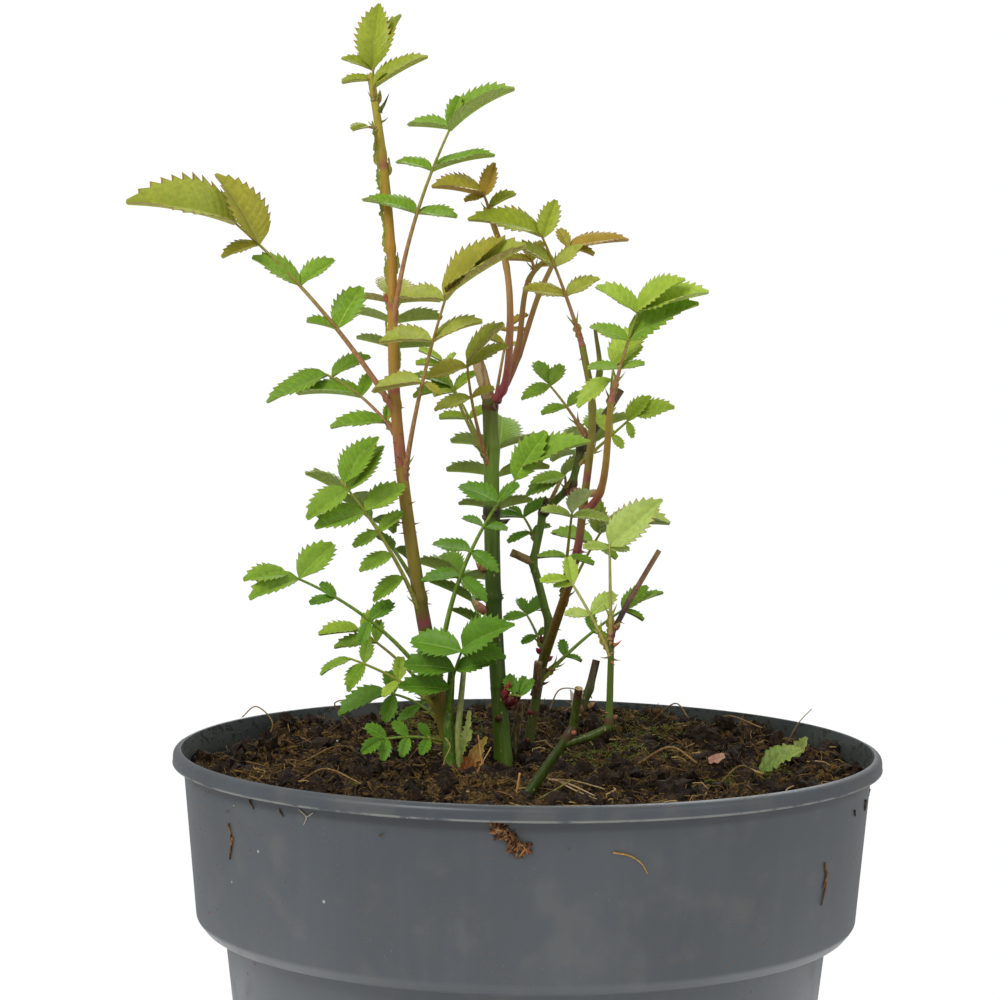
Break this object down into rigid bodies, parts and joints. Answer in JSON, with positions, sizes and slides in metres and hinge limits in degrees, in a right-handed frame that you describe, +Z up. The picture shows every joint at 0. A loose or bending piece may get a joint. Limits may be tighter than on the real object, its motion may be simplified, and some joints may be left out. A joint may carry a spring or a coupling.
{
  "type": "rose bush",
  "caption": "Young rose bush of bare-stemmed canes and toothed compound leaves, standing in soil in a round plastic nursery pot with a rolled lip.",
  "frame": {"origin": "centre of the pot's flat underside", "axes": "+Z up, +X to the bush's right and +Y to its back, seen from the front"},
  "size_m": [0.2391, 0.226, 0.4263],
  "materials": {
    "pot_plastic": "satin, slightly scuffed slate grey",
    "soil": "rough, moist dark brown compost",
    "green_bark": "smooth green bark with fine prickles",
    "red_bark": "smooth reddish young bark",
    "dead_wood": "dry cracked brown wood",
    "young_leaf": "soft satin yellow-green",
    "leaf": "soft satin green"
  },
  "bodies": {
    "root": {"pot": "pot_plastic", "soil": "soil", "tall_cane": "green_bark", "old_cane": "green_bark", "dead_stub": "dead_wood", "front_shoot_of_old_cane": "green_bark", "back_shoot_of_old_cane": "green_bark", "side_shoot_of_old_cane": "green_bark", "zigzag_cane": "green_bark", "zigzag_stub": "dead_wood", "red_shoot": "red_bark", "folded_shoot": "green_bark", "red_side_shoot": "red_bark", "front_cane": "green_bark", "front_stub": "dead_wood", "front_arm": "green_bark", "front_shoot": "green_bark", "crown_leaf": "young_leaf", "crown_side_leaf": "young_leaf", "young_side_leaf": "young_leaf", "upper_right_leaf": "young_leaf", "great_left_leaf": "young_leaf", "upper_middle_leaf": "leaf", "left_leaf": "leaf", "stalked_left_leaf": "leaf", "low_left_leaf": "leaf", "low_back_leaf": "leaf", "low_side_leaf": "leaf", "dark_low_leaf": "leaf", "soil_leaf": "leaf", "heart_leaf": "leaf", "long_middle_leaf": "leaf", "inner_left_leaf": "leaf", "inner_front_leaf": "leaf", "inner_back_leaf": "leaf", "stub_leaf": "leaf", "middle_tip_leaf": "young_leaf", "bronze_tip_leaf": "young_leaf", "side_tip_leaf": "young_leaf", "red_top_leaf": "young_leaf", "great_right_leaf": "young_leaf", "right_leaf": "young_leaf", "zigzag_inner_leaf": "leaf", "far_right_leaf": "leaf", "knee_leaf": "leaf", "stub_side_leaf": "leaf", "thin_stalk_leaf": "leaf", "middle_right_leaf": "leaf", "pale_leaf": "leaf", "pale_left_leaf": "leaf", "reaching_low_leaf": "leaf", "thin_dark_leaf": "leaf", "small_bright_leaf": "leaf", "back_low_leaf": "leaf", "back_left_leaf": "leaf", "back_middle_leaf": "leaf", "back_upper_leaf": "leaf", "back_right_leaf": "leaf"}
  },
  "joints": []
}
